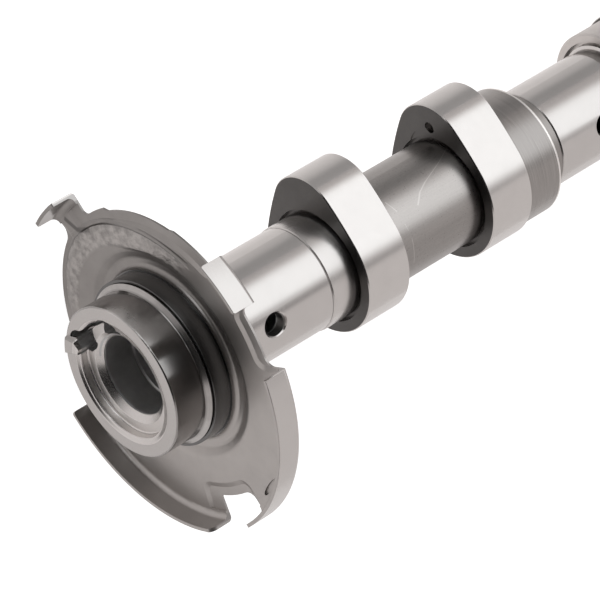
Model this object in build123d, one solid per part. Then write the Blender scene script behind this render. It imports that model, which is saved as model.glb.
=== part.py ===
from build123d import *
import os
from math import atan2, cos, degrees, hypot, radians, sin, sqrt, tan

os.makedirs("parts", exist_ok=True)

# The shaft axis is X, from the hub's front face at the origin to the rear.
# Clock angles are degrees about X, from +Y towards +Z. Lengths are millimetres.

# General clearance between pieces that are pressed together
FIT_GAP = 0.02

# Layout along the shaft
CYLINDER_PITCH = 106.0
CYLINDERS = 3
FIRST_LOBE_X = 60.0
LOBE_SPACING = 40.0
LOBE_WIDTH = 12.8
COLLAR_LENGTH = 10.9
RELIEF_FRONT = 4.1
RELIEF_REAR = 3.35

# Tube
TUBE_FRONT_X = 11.4
TUBE_BORE_R = 9.8
TUBE_FRONT_R = 13.0
TUBE_LINE_X = 52.55
TUBE_R = 13.25
RELIEF_R = 12.4
JOURNAL_R = 12.7
SHOULDER_CHAMFER = 0.35
JOURNAL_CHAMFER = 0.3
TUBE_TAIL = 2.6
TUBE_END_CHAMFER = 0.8

# Oil holes, each drilled through one wall of the tube
OIL_HOLE_R = 2.75
OIL_HOLE_MOUTH_R = 3.05
FRONT_OIL_HOLE_X = 35.25
FRONT_OIL_HOLE_ANGLE = 83.7
JOURNAL_OIL_HOLE_SHIFT = 15.2
JOURNAL_OIL_HOLE_ANGLE = 82.0

# Front hub
NOSE_R = 18.5
NOSE_CHAMFER = 0.4
NOSE_LENGTH = 8.4
HUB_CONE_X = 9.3
HUB_CONE_R = 19.9
HUB_GROOVE_R = 19.3
HUB_GROOVE_WIDTH = 0.5
WHEEL_SEAT_R = 19.6
HUB_REAR_X = 18.5
HUB_REAR_CHAMFER = 0.6
LAND_INNER_R = 15.4
RECESS_LIP_X = 0.28
RECESS_LIP_R = 13.95
RECESS_STEP_X = 0.45
RECESS_STEP_R = 13.8
RECESS_FLOOR_X = 2.35
RECESS_FLOOR_R = 13.7
BEVEL_R = 11.35
BEVEL_END_X = 3.5
BEVEL_END_R = 9.85
HUB_BORE_R = 9.7

# Driving lug as radius, start and end angle; its sloped side starts at a height in Y
LUG_ARCS = ((NOSE_R - 0.3, 275.0, 303.0), (NOSE_R - 5.4, 303.0, 282.5))
LUG_PROUD = 0.8
LUG_CHAMFER = 0.25
LUG_SIDE_Y = 5.8
LUG_SLOPE_ANGLE = 33.0

# Deep pocket beside the lug as radius, angle and round
POCKET_DEPTH = 5.6
POCKET_CORNERS = (
    (NOSE_R - 1.35, 292.0, 0.2),
    (NOSE_R - 1.35, 295.0, 0.4),
    (NOSE_R - 1.65, 299.3, 0.5),
    (NOSE_R - 2.3, 303.3, 0.6),
    (NOSE_R - 3.4, 307.2, 0.8),
    (NOSE_R - 3.8, 311.5, 1.0),
    (NOSE_R - 3.7, 327.0, 0),
    (NOSE_R - 3.6, 339.0, 0.2),
    (NOSE_R - 4.5, 338.5, 0.2),
    (NOSE_R - 4.55, 325.0, 1.5),
    (NOSE_R - 4.7, 316.8, 1.5),
    (NOSE_R - 5.1, 309.7, 1.2),
    (NOSE_R - 6.0, 305.9, 1.0),
    (NOSE_R - 7.5, 300.5, 1.0),
    (NOSE_R - 7.55, 291.0, 1.2),
    (NOSE_R - 6.4, 282.3, 0.5),
    (NOSE_R - 4.8, 281.5, 0.3),
    (NOSE_R - 5.2, 288.8, 0.3),
    (NOSE_R - 3.4, 291.5, 0.3),
    (NOSE_R - 3.8, 298.0, 0.3),
)

# Second pocket behind the ridge, in the same terms
SECOND_POCKET_CORNERS = (
    (NOSE_R - 3.9, 337.5, 0.5),
    (NOSE_R - 3.15, 343.5, 1.5),
    (NOSE_R - 3.0, 352.0, 2.0),
    (NOSE_R - 3.9, 6.0, 0.6),
    (NOSE_R - 6.9, 2.0, 0.8),
    (NOSE_R - 7.7, 341.0, 1.5),
    (NOSE_R - 7.8, 329.0, 0.6),
    (NOSE_R - 6.5, 330.5, 0.8),
    (NOSE_R - 5.1, 336.0, 0.5),
)

# Trigger wheel, pressed from sheet
SHEET = 0.9
NECK_FRONT_X = 9.6
NECK_LEDGE_X = 14.17
NECK_LEDGE = 0.32
DISH_X = 15.5
DISH_OUTER_R = 23.4
WEB_X = 14.0
WEB_INNER_R = 25.8
FLANGE_R = 42.0
FLANGE_FRONT_X = 8.5
FLANGE_BEND = 1.1
FLANGE_INNER_BEND = 1.4
NECK_FLARE = 1.2
DISH_BEND = 1.6
FLANGE_ANGLES = ((36.0, 53.0), (75.0, 142.5), (163.5, 233.0), (306.5, 322.0))

# Rounded front corner at each flange's two ends
FLANGE_CORNERS = ((0.6, 0.6), (0.4, 0.5), (1.9, 0.9), (1.0, 0.3))

# Free rim in each gap as radius, start and end angle, followed by the root rounds
RIM_R = 35.6
GAP_RIMS = (
    ((RIM_R, 53.0, 75.0),),
    ((RIM_R - 0.3, 142.5, 163.5),),
    ((RIM_R + 0.6, 233.0, 306.5),),
    ((RIM_R + 0.3, 322.0, 335.0), (RIM_R - 0.5, 337.5, 372.0), (RIM_R, 374.5, 396.0)),
)
ROOT_ROUNDS = ((1.5, 2.5), (3.0, 0.8), (2.0, 3.2), (1.6, 1.5))

# Coined step along the free rim as inner radius, start and end angle
RIM_STEPS = (
    (RIM_R - 2.3, 53.5, 74.5),
    (RIM_R - 2.4, 143.0, 170.0),
    (RIM_R - 1.2, 233.5, 306.0),
    (RIM_R - 2.6, 316.5, 395.5),
)
STEP_DEPTH = 0.4
STEP_SLOPE_ANGLE = 72.0
STEP_REACH = 3.6
STEP_CORNER = 2.0

# Coined dimple at the foot of the right flange
DIMPLE_DEPTH = 0.5
DIMPLE_START = (RIM_R + 2.15, 123.5)
DIMPLE_END = (RIM_R + 2.3, 135.5)
DIMPLE_WIDTH = 1.5

# Cam lobes
BASE_R = 17.0
TIP_R = 11.1
TIP_OFFSET = 11.5
FLANK_R = 90.0
LOBE_CHAMFER = 0.25
COUNTERBORE_R = 14.17
COUNTERBORE_DEPTH = 1.5
COLLAR_R = 16.2
COLLAR_CHAMFER = 0.5
TIP_ANGLES = (352.4, 232.4, 112.4)
MARK_R = 1.4
MARK_DEPTH = 2.0
MARK_RADIUS = 16.8
MARK_OFFSET_ANGLE = 2.6
CREASE_R = 8.6
CREASE_OFFSET = 8.0
CREASE_DEPTH = 0.2

# End plug in its counterbore
PLUG_SEAT_R = 10.3
PLUG_WALL = 1.2
PLUG_LENGTH = 6.0
PLUG_SET_IN = 1.5
PLUG_BEND = 1.8


def polar(radius, angle):
    """Point in the plane across the shaft."""
    return (radius * cos(radians(angle)), radius * sin(radians(angle)))


def turned(corners):
    """Solid turned about the shaft axis from (x, radius, round) corners."""
    points = [(x, r) for x, r, _ in corners]
    rounds = [c for _, _, c in corners]
    edge = FilletPolyline(*points, radius=rounds, close=True)
    return revolve(make_face(edge), Axis.X)


def ring_face(stations):
    """Closed face from arcs about the axis, joined by straight lines."""
    edges = []
    for i, (radius, start, end) in enumerate(stations):
        after = stations[(i + 1) % len(stations)]
        edges.append(
            ThreePointArc(
                polar(radius, start),
                polar(radius, (start + end) / 2),
                polar(radius, end),
            )
        )
        edges.append(Line(polar(radius, end), polar(after[0], after[1])))
    return make_face(Curve() + edges)


def corner_near(face, radius, angle):
    """The face's corner nearest to a polar point."""
    x, y = polar(radius, angle)
    return min(face.vertices(), key=lambda v: hypot(v.X - x, v.Y - y))


def sector(inner, outer, start, end):
    """Part of a ring between two clock angles."""
    mid = (start + end) / 2
    edges = [
        ThreePointArc(polar(outer, start), polar(outer, mid), polar(outer, end)),
        Line(polar(outer, end), polar(inner, end)),
        ThreePointArc(polar(inner, end), polar(inner, mid), polar(inner, start)),
        Line(polar(inner, start), polar(outer, start)),
    ]
    return make_face(Curve() + edges)


def across(x):
    """Plane across the shaft at a station."""
    return Plane.YZ.offset(x)


def front_corner(angle, inward, corner_r):
    """Waste outside the round at a flange's front corner; inward is 1 or -1, the way the flange goes on."""
    y, z = polar(FLANGE_R - 2 * SHEET, angle)
    place = Plane(origin=(FLANGE_FRONT_X, y, z), x_dir=(1, 0, 0), z_dir=(0, y, z))
    block = Rectangle(2 * corner_r, 2 * corner_r)
    rounded = Pos(corner_r, -inward * corner_r) * Circle(corner_r)
    return place * extrude(block - rounded, 4 * SHEET)


def save(shape, name):
    shape.label = name
    export_step(shape, "parts/" + name + ".step")


# Stations that follow from the layout
collar_end = FIRST_LOBE_X + LOBE_SPACING + LOBE_WIDTH + COLLAR_LENGTH
collar_start = FIRST_LOBE_X + CYLINDER_PITCH - COLLAR_LENGTH
journal_x = collar_end + RELIEF_FRONT
journal_width = collar_start - SHOULDER_CHAMFER - RELIEF_REAR - journal_x
journal_starts = [journal_x + CYLINDER_PITCH * i for i in range(CYLINDERS)]
tube_end = journal_starts[-1] + journal_width + TUBE_TAIL
plug_front = tube_end - PLUG_SET_IN - PLUG_LENGTH


# Tube with its ground journals, reliefs and oil holes
def tube_corners():
    outline = [
        (TUBE_FRONT_X, TUBE_BORE_R + TUBE_END_CHAMFER),
        (TUBE_FRONT_X, TUBE_FRONT_R - TUBE_END_CHAMFER / 2),
        (TUBE_FRONT_X + TUBE_END_CHAMFER / 2, TUBE_FRONT_R),
        (TUBE_LINE_X, TUBE_FRONT_R),
        (TUBE_LINE_X + TUBE_R - TUBE_FRONT_R, TUBE_R),
    ]
    for start in journal_starts:
        end = start + journal_width
        outline += [
            (start - RELIEF_FRONT, TUBE_R),
            (start - RELIEF_FRONT, RELIEF_R),
            (start, RELIEF_R),
            (start + JOURNAL_CHAMFER, JOURNAL_R),
            (end - JOURNAL_CHAMFER, JOURNAL_R),
            (end, RELIEF_R),
        ]
        if start != journal_starts[-1]:
            outline += [
                (end + RELIEF_REAR, RELIEF_R),
                (end + RELIEF_REAR + SHOULDER_CHAMFER, TUBE_R),
            ]
    outline += [
        (tube_end - TUBE_END_CHAMFER, RELIEF_R),
        (tube_end, RELIEF_R - TUBE_END_CHAMFER),
        (tube_end, PLUG_SEAT_R + TUBE_END_CHAMFER / 2),
        (tube_end - TUBE_END_CHAMFER / 2, PLUG_SEAT_R),
        (plug_front - FIT_GAP, PLUG_SEAT_R),
        (plug_front - FIT_GAP, TUBE_BORE_R),
        (TUBE_FRONT_X + TUBE_END_CHAMFER, TUBE_BORE_R),
    ]
    return outline


tube = revolve(make_face(Polyline(*tube_corners(), close=True)), Axis.X)
oil_holes = [(FRONT_OIL_HOLE_X, FRONT_OIL_HOLE_ANGLE, TUBE_FRONT_R)]
for start in journal_starts:
    oil_holes.append((start + JOURNAL_OIL_HOLE_SHIFT, JOURNAL_OIL_HOLE_ANGLE, JOURNAL_R))
mouth_depth = OIL_HOLE_MOUTH_R - OIL_HOLE_R
for x, angle, surface_r in oil_holes:
    tube -= Pos(x, 0, 0) * Rot(angle, 0, 0) * Rot(-90, 0, 0) * Cylinder(
        OIL_HOLE_R, 2 * surface_r, align=(Align.CENTER, Align.CENTER, Align.MIN)
    )
    mouth = Cone(
        OIL_HOLE_R,
        OIL_HOLE_MOUTH_R + mouth_depth,
        2 * mouth_depth,
        align=(Align.CENTER, Align.CENTER, Align.MIN),
    )
    tube -= (
        Pos(x, 0, 0)
        * Rot(angle, 0, 0)
        * Rot(-90, 0, 0)
        * Pos(0, 0, surface_r - mouth_depth - OIL_HOLE_R**2 / (2 * surface_r))
        * mouth
    )
save(tube, "shaft_tube")

# Front hub
hub = turned(
    [
        (0, LAND_INNER_R, 2.0),
        (0, NOSE_R, NOSE_CHAMFER),
        (NOSE_LENGTH, NOSE_R, 0.3),
        (HUB_CONE_X, HUB_CONE_R, 0.05),
        (HUB_CONE_X, HUB_GROOVE_R, 0),
        (HUB_CONE_X + HUB_GROOVE_WIDTH, HUB_GROOVE_R, 0),
        (HUB_CONE_X + HUB_GROOVE_WIDTH, WHEEL_SEAT_R, 0),
        (HUB_REAR_X, WHEEL_SEAT_R, HUB_REAR_CHAMFER),
        (HUB_REAR_X, TUBE_FRONT_R + FIT_GAP, 0),
        (TUBE_FRONT_X, TUBE_FRONT_R + FIT_GAP, 0),
        (TUBE_FRONT_X, HUB_BORE_R, 0),
        (BEVEL_END_X + BEVEL_END_R - HUB_BORE_R, HUB_BORE_R, 0),
        (BEVEL_END_X, BEVEL_END_R, 0),
        (RECESS_FLOOR_X, BEVEL_R, 0.2),
        (RECESS_FLOOR_X, RECESS_FLOOR_R, 0.5),
        (RECESS_STEP_X, RECESS_STEP_R, 0),
        (RECESS_LIP_X, RECESS_LIP_R, 0),
    ]
)
lug = across(-LUG_PROUD) * extrude(ring_face(LUG_ARCS), LUG_PROUD + RECESS_FLOOR_X)
lug_side = Plane(
    origin=(-LUG_PROUD, LUG_SIDE_Y, 0),
    z_dir=(-sin(radians(LUG_SLOPE_ANGLE)), cos(radians(LUG_SLOPE_ANGLE)), 0),
)
lug = split(lug, bisect_by=lug_side, keep=Keep.BOTTOM)
hub += chamfer(lug.faces().sort_by(Axis.X)[0].edges(), LUG_CHAMFER)
for corners in (POCKET_CORNERS, SECOND_POCKET_CORNERS):
    pocket = FilletPolyline(
        *[polar(radius, angle) for radius, angle, _ in corners],
        radius=[corner_round for _, _, corner_round in corners],
        close=True,
    )
    hub -= across(-LUG_PROUD) * extrude(make_face(pocket), POCKET_DEPTH + LUG_PROUD)
save(hub, "front_hub")

# Trigger wheel: full cup turned first, then trimmed to its outline
neck_inner_r = WHEEL_SEAT_R + FIT_GAP
neck_outer_r = neck_inner_r + SHEET
ledge_r = neck_outer_r + NECK_LEDGE
cone_lean = atan2(DISH_X - WEB_X, WEB_INNER_R - DISH_OUTER_R)
back_shift = SHEET * tan(cone_lean / 2)
cup = turned(
    [
        (NECK_FRONT_X, neck_inner_r, 0),
        (NECK_FRONT_X, neck_outer_r, 0.15),
        (NECK_LEDGE_X, neck_outer_r, 0),
        (NECK_LEDGE_X, ledge_r, 0),
        (DISH_X, ledge_r, NECK_FLARE),
        (DISH_X, DISH_OUTER_R, DISH_BEND),
        (WEB_X, WEB_INNER_R, DISH_BEND + SHEET),
        (WEB_X, FLANGE_R - SHEET, FLANGE_INNER_BEND),
        (FLANGE_FRONT_X, FLANGE_R - SHEET, 0.1),
        (FLANGE_FRONT_X, FLANGE_R, 0.15),
        (WEB_X + SHEET, FLANGE_R, FLANGE_BEND),
        (WEB_X + SHEET, WEB_INNER_R + back_shift, DISH_BEND),
        (DISH_X + SHEET, DISH_OUTER_R + back_shift, DISH_BEND + SHEET),
        (DISH_X + SHEET, neck_inner_r, NECK_FLARE + SHEET),
    ]
)
stations = []
for (start, end), rims in zip(FLANGE_ANGLES, GAP_RIMS):
    stations.append((2 * FLANGE_R, start, end))
    stations += rims
outline = ring_face(stations)
for rims, rounds in zip(GAP_RIMS, ROOT_ROUNDS):
    first, last = rims[0], rims[-1]
    outline = fillet(corner_near(outline, first[0], first[1]), rounds[0])
    outline = fillet(corner_near(outline, last[0], last[2]), rounds[1])
wheel = cup & across(0) * extrude(outline, 2 * DISH_X)

# Coined step along the free rim, its inner side a long slope
rim_zone = across(0) * extrude(Circle(RIM_R + STEP_REACH), 2 * DISH_X)
for inner, start, end in RIM_STEPS:
    zone = sector(inner, 1.3 * FLANGE_R, start, end)
    zone = fillet([corner_near(zone, inner, start), corner_near(zone, inner, end)], STEP_CORNER)
    zone = across(WEB_X + STEP_DEPTH) * zone
    pressed = extrude(zone, -STEP_DEPTH, taper=-STEP_SLOPE_ANGLE)
    wheel -= pressed & rim_zone

# Dimple at the foot of the right flange
start_y, start_z = polar(*DIMPLE_START)
end_y, end_z = polar(*DIMPLE_END)
dimple_length = hypot(end_y - start_y, end_z - start_z)
dimple = Ellipse(dimple_length / 2, DIMPLE_WIDTH / 2)
dimple_place = Pos((start_y + end_y) / 2, (start_z + end_z) / 2) * Rot(
    0, 0, degrees(atan2(end_z - start_z, end_y - start_y))
)
wheel -= across(WEB_X) * extrude(dimple_place * dimple, DIMPLE_DEPTH)

# Rounded front corners of the flange ends
for (start, end), (start_round, end_round) in zip(FLANGE_ANGLES, FLANGE_CORNERS):
    wheel -= front_corner(start, 1, start_round)
    wheel -= front_corner(end, -1, end_round)
save(wheel, "trigger_wheel")


# Cam lobes with their collars
def cam_face(tip_angle):
    """Closed cam outline: base circle, two large flank arcs and the tip arc."""
    to_base = FLANK_R - BASE_R
    to_tip = FLANK_R - TIP_R
    along = (to_base**2 - to_tip**2 + TIP_OFFSET**2) / (2 * TIP_OFFSET)
    beside = sqrt(to_base**2 - along**2)
    base_point = (-along * BASE_R / to_base, beside * BASE_R / to_base)
    tip_point = (
        TIP_OFFSET + (TIP_OFFSET - along) * TIP_R / to_tip,
        beside * TIP_R / to_tip,
    )
    middle_angle = (
        atan2(base_point[1] + beside, base_point[0] - along)
        + atan2(tip_point[1] + beside, tip_point[0] - along)
    ) / 2
    flank_point = (
        along + FLANK_R * cos(middle_angle),
        -beside + FLANK_R * sin(middle_angle),
    )
    mirrored = [(x, -y) for x, y in (base_point, flank_point, tip_point)]
    edges = [
        ThreePointArc(mirrored[0], (-BASE_R, 0), base_point),
        ThreePointArc(base_point, flank_point, tip_point),
        ThreePointArc(tip_point, (TIP_OFFSET + TIP_R, 0), mirrored[2]),
        ThreePointArc(mirrored[2], mirrored[1], mirrored[0]),
    ]
    return Rot(0, 0, tip_angle) * make_face(Curve() + edges)


def ring_cut(x, radius, length):
    """Disc to cut away, from a station rearwards."""
    return across(x) * extrude(Circle(radius), length)


def cam_lobe(front, tip_angle, collar, marked):
    """Lobe on its station; collar is front, rear or none."""
    lobe = across(front) * extrude(cam_face(tip_angle), LOBE_WIDTH)
    lobe = chamfer(lobe.edges().filter_by(GeomType.LINE, reverse=True), LOBE_CHAMFER)
    rear = front + LOBE_WIDTH
    if collar == "rear":
        ring = across(rear) * extrude(Circle(COLLAR_R), COLLAR_LENGTH)
        lobe += chamfer(ring.edges().sort_by(Axis.X)[-1], COLLAR_CHAMFER)
        rear += COLLAR_LENGTH
    first = front
    if collar == "front":
        first = front - COLLAR_LENGTH
        ring = across(first) * extrude(Circle(COLLAR_R), COLLAR_LENGTH)
        lobe += chamfer(ring.edges().sort_by(Axis.X)[0], COLLAR_CHAMFER)
    lobe -= ring_cut(first, TUBE_R + FIT_GAP, rear - first)
    lobe -= ring_cut(first, COUNTERBORE_R, COUNTERBORE_DEPTH)
    if collar != "rear":
        lobe -= ring_cut(rear - COUNTERBORE_DEPTH, COUNTERBORE_R, COUNTERBORE_DEPTH)
    if marked:
        mark_angle = tip_angle + MARK_OFFSET_ANGLE
        crease = Pos(*polar(CREASE_OFFSET, mark_angle)) * Circle(CREASE_R)
        lobe -= across(front) * extrude(crease, CREASE_DEPTH)
        mark = Pos(*polar(MARK_RADIUS, mark_angle)) * Circle(MARK_R)
        lobe -= across(front) * extrude(mark, MARK_DEPTH)
    return lobe


for cylinder in range(CYLINDERS):
    for place in range(2):
        station = FIRST_LOBE_X + CYLINDER_PITCH * cylinder + LOBE_SPACING * place
        collar = "rear" if place else ("front" if cylinder else "none")
        lobe = cam_lobe(station, TIP_ANGLES[cylinder], collar, place == 1)
        save(lobe, "cam_lobe_" + str(2 * cylinder + place + 1))

# Cup plug in the tube's rear end
plug_r = PLUG_SEAT_R - FIT_GAP
plug = turned(
    [
        (plug_front, 0, 0),
        (plug_front, plug_r, PLUG_BEND),
        (plug_front + PLUG_LENGTH, plug_r, 0.2),
        (plug_front + PLUG_LENGTH, plug_r - PLUG_WALL, 0.2),
        (plug_front + PLUG_WALL, plug_r - PLUG_WALL, PLUG_BEND - PLUG_WALL),
        (plug_front + PLUG_WALL, 0, 0),
    ]
)
save(plug, "end_plug")
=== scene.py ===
import math

import bpy
from mathutils import Matrix, Vector


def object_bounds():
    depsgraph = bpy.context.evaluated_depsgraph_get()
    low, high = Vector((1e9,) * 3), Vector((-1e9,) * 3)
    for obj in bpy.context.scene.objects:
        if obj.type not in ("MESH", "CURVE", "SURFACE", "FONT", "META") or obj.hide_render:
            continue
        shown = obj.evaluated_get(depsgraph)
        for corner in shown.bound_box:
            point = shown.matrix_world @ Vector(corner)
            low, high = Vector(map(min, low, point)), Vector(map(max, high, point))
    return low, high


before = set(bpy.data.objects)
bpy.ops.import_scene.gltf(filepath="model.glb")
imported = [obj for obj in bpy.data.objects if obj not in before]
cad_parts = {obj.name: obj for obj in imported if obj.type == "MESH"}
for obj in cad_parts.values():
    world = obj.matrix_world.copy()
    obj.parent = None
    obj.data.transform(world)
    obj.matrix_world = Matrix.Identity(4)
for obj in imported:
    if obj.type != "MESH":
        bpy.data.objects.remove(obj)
cad_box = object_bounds()

# Camera, set from the axis, ellipses and widths measured in the photograph
CAMERA_PLACE = (-0.43349, 0.45800, 0.61544)
CAMERA_RIGHT = (0.725601, -0.134050, 0.674932)
CAMERA_DOWN = (-0.433919, -0.850382, 0.297598)
CAMERA_AHEAD = (0.534057, -0.508803, -0.675205)
CAMERA_LENS = 240.0
CAMERA_SENSOR = 36.0
CAMERA_NEAR = 0.01
CAMERA_FAR = 50.0

# Light: a room seen from the object, by direction. Each edge of a panel is a plane through the
# object, given by its normal. The light changes over while the dot product of direction and
# normal goes from minus to plus the soft value. GAP_REACH and BELOW_REACH are where the
# direction's x and z change it
PANEL_LOWER = (-0.548, 0.099, 0.831)
PANEL_UPPER = (0.570, 0.670, -0.475)
SECOND_PANEL = (0.318, -0.892, -0.323)
SOFT_LOWER = 0.12
SOFT_UPPER = 0.12
SOFT_SECOND = 0.05
PANEL_LEVEL = 1.38
SECOND_LEVEL = 0.68
GAP_FRONT = 0.02
GAP_REAR = 0.34
GAP_REACH = (-0.4, 0.6)
HORIZON_LEVEL = 0.54
BELOW_LEVEL = 0.55
BELOW_REACH = (-0.3, -0.1)
PANEL_COLOUR = (0.980, 0.992, 1.0, 1.0)
ROSY = (1.0, 0.952, 0.937, 1.0)
WHITE = (1.0, 1.0, 1.0, 1.0)

# Floor: what the camera sees of it, and what the metal mirrors, which fades out across it
FLOOR_SIZE = 8.0
FLOOR_MATT = 0.60
FLOOR_SEEN = 0.90
FLOOR_MIRRORED_NEAR = 0.60
FLOOR_MIRRORED_FAR = 0.06
FLOOR_OTHER_SIDE = 0.75
FLOOR_POOL = 0.11

# Lengths along the shaft and radii in metres, as in the part
FIRST_LOBE = 0.060
PITCH = 0.106
LOBE_WIDTH = 0.0128
SECOND_LOBE = 0.040
COLLAR_LENGTH = 0.0109
TUBE_LINE = 0.0525
TUBE_RADIUS = 0.01325
RELIEF_RADIUS = 0.0124
FRONT_FACE = 0.0118
LAND_RADIUS = 0.0154
LIP_RADIUS = 0.0139
RECESS_FLOOR = 0.00235
NECK_RADIUS = 0.0209

# Soft width of the edge between two finishes in metres, from the sharpest to the softest
CRISP = 0.00006
SHARP = 0.0001
SOFT = 0.0002
BLURRED = 0.0003

# Depth of the relief in the bump nodes, in metres
TRACK_DEPTH = 0.0000010
FINE_DEPTH = 0.0000012
GRAIN_DEPTH = 0.0000015
SPOTS_DEPTH = 0.000004
BAND_DEPTH = 0.00022
LIP_DEPTH = 0.0006

# Where one finish gives way to another, in metres along the shaft or out from it and degrees
# on the clock, and how strongly the smaller marks cover what is under them. On the tube
# The tube's colour is lighter between these clocks: a painted highlight band round the tube.
PAINTED_HIGHLIGHT_CLOCKS = (42.0, 68.0)
PAINTED_HIGHLIGHT_SOFT = 22.0
GROOVE_RADIUS = 0.01272
BORE_ZONE = 0.0102
SEAM = (0.05236, 0.05252)
SCRATCH_COVER = 0.38

# On the hub. NOSE_TILT leans the nose's shading, as a slope
# A lighter, mottled patch on the top of the nose's front, fading towards the wheel: scuffing with
# a painted highlight.
SCUFF_AND_HIGHLIGHT_LENGTH = (-0.001, 0.008)
SCUFF_AND_HIGHLIGHT_CLOCKS = (6.0, 14.0)
SCUFF_AND_HIGHLIGHT_SOFT = 24.0
RECESS_END = 0.004
RECESS_WALL = (0.0134, 0.01388)
CONE = (0.0086, 0.0094)
NOSE_END = 0.0092
NOSE_TILT = 0.058
HUB_BORE_ZONE = 0.0098
POCKET_CLOCKS = (-80.0, 6.0)
POCKET_SOFT = 2.0
POCKET_RADII = (0.0102, 0.0175)
POCKET_RIM = 0.0004
POCKET_FLOOR = (0.0030, 0.0065)

# On the wheel. The web's colour gets lighter in one direction across the shaft, as painted shade
# and light. Each edge of the rough band goes between two clocks in degrees from one radius to
# another
WEB_PAINTED_LIGHT = (0.0, -0.82, 0.57)
RIM_OUTSIDE = 0.0415
RIM_INSIDE = (0.0400, 0.0413)
SEGMENT_START = 0.014
BEND_START = 0.0150
BAND_CLOCKS = (-82.0, 16.0)
BAND_SOFT = 12.0
BAND_INNER = (-77.0, 25.0, 0.0297, 0.0229)
BAND_OUTER = (-70.0, 20.0, 0.0350, 0.0297)
BAND_RISE = 0.0012
BAND_FALL = 0.0004
BAND_COVER = 0.9
BAND_SPOTS = 1.5
# The groove at the band's outer edge: its place, its softness, and how strongly painted shade
# darkens it.
BAND_GROOVE = (0.0002, 0.0007)
BAND_GROOVE_SOFT = 0.0006
BAND_GROOVE_SHADE_COVER = 0.35

# On the lobes and their collars
FRONT_COLLAR_RADIUS = 0.0175
COUNTERBORE_RADIUS = 0.01425
INNER_BEVEL_RADIUS = 0.0150
# Width of a bright ring at the end of each rear collar, a painted highlight.
END_HIGHLIGHT_WIDTH = 0.0009

# Light scratches on the tube between the first two lobes: start and end as metres along the
# shaft and degrees on the clock, and half the width in metres
SCRATCHES = (
    ((0.0999, 15.7), (0.0955, 24.9), 0.00003),
    ((0.0955, 24.9), (0.0920, 30.5), 0.00005),
    ((0.0920, 30.5), (0.0886, 35.9), 0.00007),
    ((0.0886, 35.9), (0.0857, 42.1), 0.00010),
    ((0.0857, 42.1), (0.08325, 52.2), 0.00013),
    ((0.0764, 33.0), (0.0774, 47.2), 0.00008),
    ((0.0776, 61.8), (0.0778, 69.9), 0.00006),
    ((0.0780, 77.9), (0.07785, 91.0), 0.00006),
    ((0.07785, 91.0), (0.0778, 107.0), 0.00005),
)

# Painted shade along a crease on the arm of the wheel's upper left segment: two dark strokes,
# their ends as y and z in metres
CREASE_SHADE_STROKES = (
    ((0.0253, -0.0294), (0.0238, -0.0256)),
    ((0.0238, -0.0256), (0.0248, -0.0216)),
)
CREASE_SHADE_HALF = 0.0003
CREASE_SHADE_SOFT = 0.0006
CREASE_SHADE_COVER = 0.85


class Tree:
    """A node tree with short calls.

    add gives back its node, put links or sets a socket, and the others give back an output.
    """

    def __init__(self, owner):
        owner.use_nodes = True
        self.tree = owner.node_tree
        self.tree.nodes.clear()

    def add(self, kind, **settings):
        node = self.tree.nodes.new(kind)
        for name, value in settings.items():
            setattr(node, name, value)
        return node

    def put(self, node, name, value):
        socket = node.inputs[name]
        if isinstance(value, bpy.types.NodeSocket):
            self.tree.links.new(value, socket)
        else:
            socket.default_value = value

    def math(self, operation, *values):
        node = self.add("ShaderNodeMath", operation=operation)
        for i, value in enumerate(values):
            self.put(node, i, value)
        return node.outputs[0]

    def dot(self, vector, other):
        node = self.add("ShaderNodeVectorMath", operation="DOT_PRODUCT")
        self.put(node, 0, vector)
        self.put(node, 1, other)
        return node.outputs["Value"]

    def step(self, value, low, high, start=0.0, end=1.0):
        """Goes smoothly from start to end while the value goes from low to high."""
        node = self.add("ShaderNodeMapRange", interpolation_type="SMOOTHSTEP")
        self.put(node, "Value", value)
        self.put(node, "From Min", low)
        self.put(node, "From Max", high)
        self.put(node, "To Min", start)
        self.put(node, "To Max", end)
        return node.outputs[0]

    def within(self, value, low, high, soft):
        """One between low and high, nought outside, with soft ends."""
        rise = self.step(value, low - soft, low)
        fall = self.step(value, high, high + soft, 1.0, 0.0)
        return self.math("MULTIPLY", rise, fall)

    def joined(self, x, y, z):
        node = self.add("ShaderNodeCombineXYZ")
        for i, value in enumerate((x, y, z)):
            self.put(node, i, value)
        return node.outputs[0]

    def parts(self, vector):
        node = self.add("ShaderNodeSeparateXYZ")
        self.put(node, 0, vector)
        return node.outputs[0], node.outputs[1], node.outputs[2]

    def noise(self, vector, scale=1.0, detail=2.0, roughness=0.6):
        node = self.add("ShaderNodeTexNoise")
        self.put(node, "Vector", vector)
        self.put(node, "Scale", scale)
        self.put(node, "Detail", detail)
        self.put(node, "Roughness", roughness)
        return node.outputs["Fac"]

    def mix(self, factor, first, second):
        """Mixes two colours."""
        node = self.add("ShaderNodeMix", data_type="RGBA")
        self.put(node, 0, factor)
        self.put(node, 6, first)
        self.put(node, 7, second)
        return node.outputs[2]

    def blend(self, factor, first, second):
        """Mixes two numbers."""
        node = self.add("ShaderNodeMix", data_type="FLOAT")
        self.put(node, 0, factor)
        self.put(node, 2, first)
        self.put(node, 3, second)
        return node.outputs[0]


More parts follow.
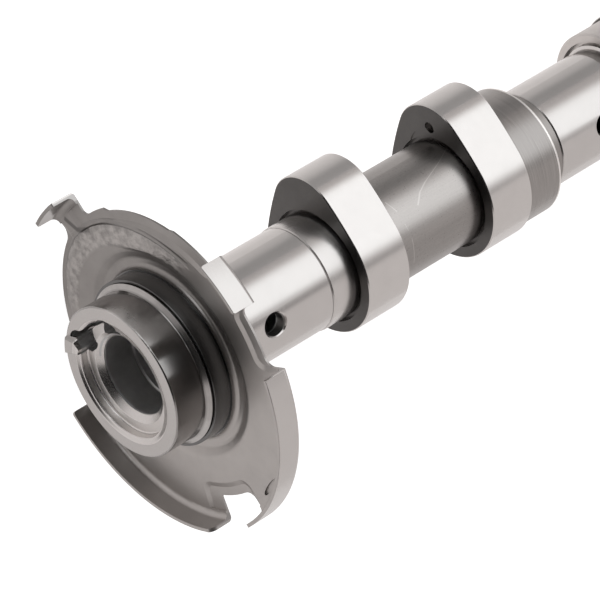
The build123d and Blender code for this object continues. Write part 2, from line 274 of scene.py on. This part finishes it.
class Metal(Tree):
    """A metal material with the part's own coordinates.

    x is the length along the shaft, radius and clock give the place round it. flat is one on
    faces square to the shaft and round is one on faces round it. in_pair is the length from
    the front of a pair of lobes.
    """

    def __init__(self, name):
        material = bpy.data.materials.new(name)
        super().__init__(material)
        self.material = material
        place = self.add("ShaderNodeTexCoord")
        self.place = place.outputs["Object"]
        self.x, self.y, self.z = self.parts(self.place)
        squares = [self.math("POWER", value, 2.0) for value in (self.y, self.z)]
        self.radius = self.math("SQRT", self.math("ADD", *squares))
        self.clock = self.math("DEGREES", self.math("ARCTAN2", self.z, self.y))
        facing = self.math("ABSOLUTE", self.parts(place.outputs["Normal"])[0])
        self.flat = self.step(facing, 0.90, 0.98)
        self.round = self.step(facing, 0.30, 0.15)
        self.in_pair = self.math("MODULO", self.math("SUBTRACT", self.x, FIRST_LOBE), PITCH)

    def beyond(self, value, limit, soft=CRISP):
        """One above the limit, nought below it."""
        return self.step(value, limit - soft, limit + soft)

    def below(self, value, limit, soft=CRISP):
        """One below the limit, nought above it."""
        return self.step(value, limit - soft, limit + soft, 1.0, 0.0)

    def beside(self, mask):
        """One where the mask is nought."""
        return self.math("SUBTRACT", 1.0, mask)

    def every(self, *masks):
        """One where all the masks are one."""
        joint = masks[0]
        for mask in masks[1:]:
            joint = self.math("MULTIPLY", joint, mask)
        return joint

    def stirred(self, value, noise, swing):
        """Lets a value swing with a noise, round the noise's mean."""
        change = self.math("MULTIPLY", self.math("SUBTRACT", noise, 0.5), swing)
        return self.math("ADD", value, change)

    def streaks(self, per_metre, per_degree):
        """Fine lines, as a noise that is stretched the way that it changes least."""
        along = self.math("MULTIPLY", self.x, per_metre)
        across = self.math("MULTIPLY", self.clock, per_degree)
        return self.noise(self.joined(along, across, 0.0), detail=3.0)

    def turned(self, fine):
        """Fine lines round the shaft, left by turning and grinding."""
        return self.streaks(fine, 0.02)

    def drawn(self, fine):
        """Fine lines that run along the shaft."""
        return self.streaks(60.0, fine)

    def line(self, u, v, start, end, half, soft):
        """One on a straight line between two points as (u, v), nought beside it."""
        length = math.hypot(end[0] - start[0], end[1] - start[1])
        along_u = (end[0] - start[0]) / length
        along_v = (end[1] - start[1]) / length
        u = self.math("SUBTRACT", u, start[0])
        v = self.math("SUBTRACT", v, start[1])
        along = self.math(
            "ADD", self.math("MULTIPLY", u, along_u), self.math("MULTIPLY", v, along_v)
        )
        aside = self.math(
            "SUBTRACT", self.math("MULTIPLY", u, along_v), self.math("MULTIPLY", v, along_u)
        )
        return self.every(
            self.within(along, 0.0, length, soft), self.within(aside, -half, half, soft)
        )

    def layer(self, under, over, place):
        """Lays one (colour, roughness) pair over another where place is one."""
        return self.mix(place, under[0], over[0]), self.blend(place, under[1], over[1])

    def finish(self, looks, heights):
        """Closes the tree. looks is (colour, roughness), heights are (height, metres) pairs."""
        shader = self.add("ShaderNodeBsdfPrincipled")
        shader.inputs["Metallic"].default_value = 1.0
        self.put(shader, "Base Color", looks[0])
        self.put(shader, "Roughness", looks[1])
        normal = None
        for height, distance in heights:
            bump = self.add("ShaderNodeBump")
            bump.inputs["Distance"].default_value = distance
            self.put(bump, "Height", height)
            if normal is not None:
                self.put(bump, "Normal", normal)
            normal = bump.outputs[0]
        self.put(shader, "Normal", normal)
        out = self.add("ShaderNodeOutputMaterial")
        self.put(out, "Surface", shader.outputs[0])
        return self.material


def grey(level, warmth=1.0):
    """Warm steel grey of one brightness."""
    red = level * (1 + 0.030 * warmth)
    green = level * (1 - 0.006 * warmth)
    blue = level * (1 - 0.030 * warmth)
    return (red, green, blue, 1.0)


def wear(material, node):
    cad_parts[node].material_slots[0].material = material


def ground_steel():
    """The tube: ground journals, duller lengths between the lobes, grooves and bore."""
    m = Metal("ground_steel")
    rings = m.turned(5200.0)
    cloud = m.noise(m.place, 150.0, 3.0)
    grain = m.noise(m.place, 2400.0)
    drawn = m.drawn(0.9)

    # Painted highlight: the tube between the lobes is lighter in a band of clocks, where it is
    # lit.
    painted_light_tone = m.blend(m.within(m.clock, *PAINTED_HIGHLIGHT_CLOCKS, PAINTED_HIGHLIGHT_SOFT), 0.34, 0.47)
    painted_light_tone = m.stirred(m.stirred(painted_light_tone, drawn, 0.10), grain, 0.10)
    tube = (m.mix(painted_light_tone, grey(0.0), grey(1.0, 1.4)), m.blend(grain, 0.25, 0.33))
    per_degree = math.radians(TUBE_RADIUS)
    arc = m.math("MULTIPLY", m.clock, per_degree)
    marks = 0.0
    for (start_x, start_clock), (end_x, end_clock), half in SCRATCHES:
        start = (start_x, start_clock * per_degree)
        end = (end_x, end_clock * per_degree)
        marks = m.math("MAXIMUM", marks, m.line(m.x, arc, start, end, half, half))
    tube = m.layer(tube, (grey(0.80), 0.38), m.math("MULTIPLY", marks, SCRATCH_COVER))

    looks = (m.mix(cloud, grey(0.60), grey(0.66)), m.blend(rings, 0.14, 0.22))
    looks = m.layer(looks, tube, m.within(m.in_pair, LOBE_WIDTH, SECOND_LOBE, SHARP))
    shoulder = (m.mix(cloud, grey(0.62), grey(0.68)), m.blend(rings, 0.20, 0.28))
    looks = m.layer(looks, shoulder, m.within(m.x, TUBE_LINE, FIRST_LOBE, SOFT))

    relief = m.every(m.below(m.radius, RELIEF_RADIUS + SHARP, SHARP), m.beyond(m.x, TUBE_LINE))
    looks = m.layer(looks, (grey(0.36, 1.6), 0.34), relief)
    looks = m.layer(looks, (grey(0.28, 1.6), 0.36), m.within(m.x, *SEAM, CRISP))
    groove = m.every(m.below(m.radius, GROOVE_RADIUS), m.below(m.x, TUBE_LINE))
    looks = m.layer(looks, (grey(0.30), 0.40), groove)

    bore = (m.mix(drawn, grey(0.58, 0.2), grey(0.84, 0.2)), 0.46)
    looks = m.layer(looks, bore, m.below(m.radius, BORE_ZONE))
    face = (m.mix(grain, grey(0.60, 0.4), grey(0.80, 0.4)), 0.50)
    looks = m.layer(looks, face, m.every(m.flat, m.below(m.x, FRONT_FACE)))
    return m.finish(looks, [(rings, FINE_DEPTH), (grain, FINE_DEPTH)])


def turned_steel(name):
    """The hub and the end plug: nose, land, recess, pockets and bore."""
    m = Metal(name)
    rings = m.turned(4200.0)
    cloud = m.noise(m.place, 260.0, 3.0)
    grain = m.noise(m.place, 2600.0)

    looks = (m.mix(cloud, grey(0.32), grey(0.38)), m.blend(rings, 0.14, 0.21))
    # Scuffing with a painted highlight: the nose's top is lighter near the front and fades towards
    # the wheel.
    scuffed_and_highlit = m.every(
        m.step(m.x, *SCUFF_AND_HIGHLIGHT_LENGTH, 1.0, 0.0),
        m.within(m.clock, *SCUFF_AND_HIGHLIGHT_CLOCKS, SCUFF_AND_HIGHLIGHT_SOFT),
        m.step(cloud, 0.2, 0.7, 0.5, 1.0),
    )
    looks = m.layer(looks, (m.mix(cloud, grey(0.60), grey(0.80)), 0.36), scuffed_and_highlit)

    front = m.below(m.x, RECESS_END)
    shiny = (m.mix(cloud, grey(0.60), grey(0.68)), m.blend(grain, 0.22, 0.30))
    looks = m.layer(looks, shiny, m.every(front, m.below(m.radius, LAND_RADIUS)))
    matt = (m.mix(grain, grey(0.47), grey(0.57)), m.blend(cloud, 0.34, 0.42))
    looks = m.layer(looks, matt, m.every(m.flat, m.beyond(m.radius, LAND_RADIUS, BLURRED)))
    floor = m.every(m.flat, m.within(m.x, RECESS_FLOOR - SHARP, RECESS_FLOOR + SHARP, SHARP))
    looks = m.layer(looks, (m.mix(grain, grey(0.62), grey(0.70)), 0.46), floor)
    wall = m.every(front, m.round, m.within(m.radius, *RECESS_WALL, SHARP))
    looks = m.layer(looks, (grey(0.82), 0.30), wall)
    cone = m.every(m.beyond(m.x, CONE[0]), m.below(m.x, CONE[1]))
    looks = m.layer(looks, (m.mix(cloud, grey(0.34), grey(0.56)), 0.20), cone)

    pocket = m.every(
        m.within(m.clock, *POCKET_CLOCKS, POCKET_SOFT),
        m.within(m.radius, *POCKET_RADII, SHARP),
    )
    rim = m.every(m.beyond(m.x, POCKET_RIM), m.round, front, pocket)
    looks = m.layer(looks, (grey(0.62, 0.1), 0.50), rim)
    deep = m.every(m.within(m.x, *POCKET_FLOOR, SHARP), pocket)
    looks = m.layer(looks, (grey(0.66, 0.1), 0.50), deep)
    bore = (m.mix(cloud, grey(0.58, 0.2), grey(0.84, 0.2)), 0.46)
    looks = m.layer(looks, bore, m.every(m.below(m.radius, HUB_BORE_ZONE), m.round))

    lean = m.math("MULTIPLY", m.math("MINIMUM", m.x, NOSE_END), -1.0)
    shoulder = m.blend(front, 1.0, m.step(m.radius, LIP_RADIUS, LAND_RADIUS + SHARP))
    heights = [(lean, NOSE_TILT), (shoulder, LIP_DEPTH), (rings, FINE_DEPTH), (grain, GRAIN_DEPTH)]
    return m.finish(looks, heights)


def sheet_steel():
    """The wheel: web, neck, ground segments and the band of rough pressing."""
    m = Metal("sheet_steel")
    cloud = m.noise(m.place, 140.0, 4.0)
    spots = m.noise(m.place, 520.0, 3.0, 0.65)
    grain = m.noise(m.place, 2400.0)

    # Painted shade and light: the web's colour goes from dark to light in one direction across the
    # shaft.
    side = m.math("DIVIDE", m.dot(m.place, WEB_PAINTED_LIGHT), m.radius)
    painted_light_tone = m.stirred(m.step(side, -0.8, 0.3, 0.31, 0.46), cloud, 0.10)
    looks = (m.mix(painted_light_tone, grey(0.0), grey(1.0, 1.4)), m.blend(spots, 0.33, 0.43))
    looks = m.layer(looks, (grey(0.155, 0.2), 0.24), m.below(m.radius, NECK_RADIUS, SOFT))

    segments = m.math("MAXIMUM", m.round, m.beyond(m.x, SEGMENT_START))
    outside = m.every(m.beyond(m.radius, RIM_OUTSIDE, BLURRED), segments)
    ground = (m.mix(cloud, grey(0.60), grey(0.66)), m.blend(grain, 0.18, 0.26))
    looks = m.layer(looks, ground, outside)
    bend = m.every(
        m.beyond(m.radius, RIM_INSIDE[0], BLURRED),
        m.beyond(m.x, BEND_START, BLURRED),
        m.beside(m.flat),
    )
    looks = m.layer(looks, (grey(0.82), 0.40), bend)
    inside = m.every(m.within(m.radius, *RIM_INSIDE, SOFT), m.round)
    looks = m.layer(looks, (m.mix(cloud, grey(0.38), grey(0.46)), 0.28), inside)

    # Band of rough pressing on the upper left of the web, left without characters, and its edges
    near = m.every(m.within(m.clock, *BAND_CLOCKS, BAND_SOFT), m.flat)
    from_inner = m.math("SUBTRACT", m.radius, m.step(m.clock, *BAND_INNER))
    from_outer = m.math("SUBTRACT", m.radius, m.step(m.clock, *BAND_OUTER))
    band = m.every(
        m.step(from_inner, 0.0, BAND_RISE),
        m.step(from_outer, -BAND_FALL, 0.0, 1.0, 0.0),
        near,
    )
    rough = m.mix(m.step(spots, 0.3, 0.7), grey(0.27, 1.3), grey(0.50, 1.3))
    rough = (rough, m.blend(spots, 0.32, 0.46))
    looks = m.layer(looks, rough, m.math("MULTIPLY", band, BAND_COVER))
    # Painted shade: besides its bump, the groove at the band's outer edge is darkened in colour.
    groove = m.every(m.within(from_outer, *BAND_GROOVE, BAND_GROOVE_SOFT), near)
    groove_shade = m.math("MULTIPLY", groove, BAND_GROOVE_SHADE_COVER)
    looks = m.layer(looks, (grey(0.24, 1.3), 0.40), groove_shade)

    # Painted shade: dark strokes along the crease on the arm.
    crease_shade = 0.0
    for start, end in CREASE_SHADE_STROKES:
        stroke = m.line(m.y, m.z, start, end, CREASE_SHADE_HALF, CREASE_SHADE_SOFT)
        crease_shade = m.math("MAXIMUM", crease_shade, stroke)
    crease_shade = m.math("MULTIPLY", m.every(crease_shade, m.flat), CREASE_SHADE_COVER)
    looks = m.layer(looks, (grey(0.13, 1.3), 0.46), crease_shade)

    raised = m.math("ADD", band, m.math("MULTIPLY", m.every(spots, band), BAND_SPOTS))
    raised = m.math("SUBTRACT", raised, groove)
    return m.finish(looks, [(raised, BAND_DEPTH), (spots, SPOTS_DEPTH), (grain, GRAIN_DEPTH)])


def lobe_steel():
    """The lobes: ground track, dark side faces, collars and counterbores."""
    m = Metal("lobe_steel")
    rings = m.turned(5200.0)
    brushed = m.turned(7000.0)
    cloud = m.noise(m.place, 240.0, 3.0)
    grain = m.noise(m.place, 2600.0)

    looks = (m.mix(cloud, grey(0.64), grey(0.70)), m.blend(rings, 0.14, 0.22))
    side = (m.mix(cloud, grey(0.085), grey(0.115)), m.blend(grain, 0.30, 0.40))
    looks = m.layer(looks, side, m.flat)

    rear_start = SECOND_LOBE + LOBE_WIDTH
    rear_end = rear_start + COLLAR_LENGTH
    rear_collar = m.within(m.in_pair, rear_start + SHARP, rear_end, SHARP)
    front_collar = m.within(m.in_pair, PITCH - COLLAR_LENGTH, PITCH - SHARP, SHARP)
    collar = m.mix(brushed, grey(0.22, 1.6), grey(0.50, 1.4))
    collar = (collar, m.blend(brushed, 0.18, 0.30))
    looks = m.layer(looks, collar, m.every(rear_collar, m.round))
    # Painted highlight: a bright ring round the end of each rear collar, where its edge catches
    # the light.
    painted_end_highlight = m.every(m.within(m.in_pair, rear_end - END_HIGHLIGHT_WIDTH, rear_end, SHARP), m.round)
    looks = m.layer(looks, (grey(0.92), 0.34), painted_end_highlight)
    narrow = m.every(front_collar, m.below(m.radius, FRONT_COLLAR_RADIUS))
    looks = m.layer(looks, (m.mix(cloud, grey(0.54, 1.4), grey(0.64, 1.4)), 0.36), narrow)

    hollow = m.every(m.below(m.radius, COUNTERBORE_RADIUS), m.round)
    looks = m.layer(looks, (grey(0.26), 0.40), hollow)
    bevel = m.every(
        m.beside(m.flat),
        m.beside(m.round),
        m.math("MAXIMUM", rear_collar, m.below(m.radius, INNER_BEVEL_RADIUS)),
    )
    looks = m.layer(looks, (grey(0.90), 0.40), bevel)
    return m.finish(looks, [(rings, TRACK_DEPTH), (grain, FINE_DEPTH)])


def make_camera():
    camera = bpy.data.objects.new("camera", bpy.data.cameras.new("camera"))
    bpy.context.collection.objects.link(camera)
    right = Vector(CAMERA_RIGHT)
    up = -Vector(CAMERA_DOWN)
    back = -Vector(CAMERA_AHEAD)
    turn = Matrix((right, up, back)).transposed()
    camera.matrix_world = Matrix.Translation(CAMERA_PLACE) @ turn.to_4x4()
    camera.data.lens = CAMERA_LENS
    camera.data.sensor_width = CAMERA_SENSOR
    camera.data.clip_start = CAMERA_NEAR
    camera.data.clip_end = CAMERA_FAR
    bpy.context.scene.camera = camera


def make_room():
    """A world with a lit panel, a second one across a dark gap, and a dim horizon."""
    world = bpy.data.worlds.new("room")
    bpy.context.scene.world = world
    t = Tree(world)
    direction = t.add("ShaderNodeTexCoord").outputs["Generated"]
    x, _, z = t.parts(direction)
    lower = t.step(t.dot(direction, PANEL_LOWER), -SOFT_LOWER, SOFT_LOWER)
    upper = t.step(t.dot(direction, PANEL_UPPER), -SOFT_UPPER, SOFT_UPPER)
    second = t.step(t.dot(direction, SECOND_PANEL), -SOFT_SECOND, SOFT_SECOND)
    gap = t.step(x, *GAP_REACH, GAP_FRONT, GAP_REAR)
    above = t.blend(second, gap, SECOND_LEVEL)
    level = t.blend(lower, HORIZON_LEVEL, PANEL_LEVEL)
    level = t.blend(upper, above, level)
    level = t.blend(t.step(z, *BELOW_REACH), BELOW_LEVEL, level)
    light = t.add("ShaderNodeBackground")
    t.put(light, "Color", t.mix(t.math("MULTIPLY", lower, upper), ROSY, PANEL_COLOUR))
    t.put(light, "Strength", level)
    white = t.add("ShaderNodeBackground")
    t.put(white, "Color", WHITE)
    either = t.add("ShaderNodeMixShader")
    t.put(either, 0, t.add("ShaderNodeLightPath").outputs["Is Camera Ray"])
    t.put(either, 1, light.outputs[0])
    t.put(either, 2, white.outputs[0])
    out = t.add("ShaderNodeOutputWorld")
    t.put(out, "Surface", either.outputs[0])


def make_floor():
    """A matt floor with a glow of its own, for the camera and for the metal's reflections."""
    low = cad_box[0].z
    half = FLOOR_SIZE / 2
    mesh = bpy.data.meshes.new("floor")
    corners = [(-half, -half, low), (half, -half, low), (half, half, low), (-half, half, low)]
    mesh.from_pydata(corners, [], [(0, 1, 2, 3)])
    floor = bpy.data.objects.new("floor", mesh)
    bpy.context.collection.objects.link(floor)
    material = bpy.data.materials.new("floor")
    t = Tree(material)
    path = t.add("ShaderNodeLightPath")
    from_camera = path.outputs["Is Camera Ray"]
    seen = t.math("MULTIPLY", from_camera, FLOOR_SEEN)
    across = t.parts(t.add("ShaderNodeTexCoord").outputs["Object"])[1]
    pool = t.step(across, 0.0, FLOOR_POOL, FLOOR_MIRRORED_NEAR, FLOOR_MIRRORED_FAR)
    other_side = t.step(across, -FLOOR_POOL, 0.0, FLOOR_OTHER_SIDE, 1.0)
    mirrored = t.math(
        "MAXIMUM", path.outputs["Is Glossy Ray"], path.outputs["Is Transmission Ray"]
    )
    mirrored = t.math("MULTIPLY", t.math("MULTIPLY", mirrored, pool), other_side)
    matt = t.add("ShaderNodeBsdfDiffuse")
    matt.inputs["Color"].default_value = (FLOOR_MATT, FLOOR_MATT, FLOOR_MATT, 1.0)
    glow = t.add("ShaderNodeEmission")
    t.put(glow, "Color", t.mix(from_camera, ROSY, WHITE))
    t.put(glow, "Strength", t.math("ADD", seen, mirrored))
    both = t.add("ShaderNodeAddShader")
    t.put(both, 0, matt.outputs[0])
    t.put(both, 1, glow.outputs[0])
    out = t.add("ShaderNodeOutputMaterial")
    t.put(out, "Surface", both.outputs[0])
    mesh.materials.append(material)


def dress():
    wear(ground_steel(), "shaft_tube")
    wear(turned_steel("turned_steel"), "front_hub")
    wear(sheet_steel(), "trigger_wheel")
    lobes = lobe_steel()
    for i in range(1, 7):
        wear(lobes, f"cam_lobe_{i}")
    wear(turned_steel("plug_steel"), "end_plug")


bpy.context.scene.view_settings.view_transform = "Standard"
make_camera()
make_room()
make_floor()
dress()
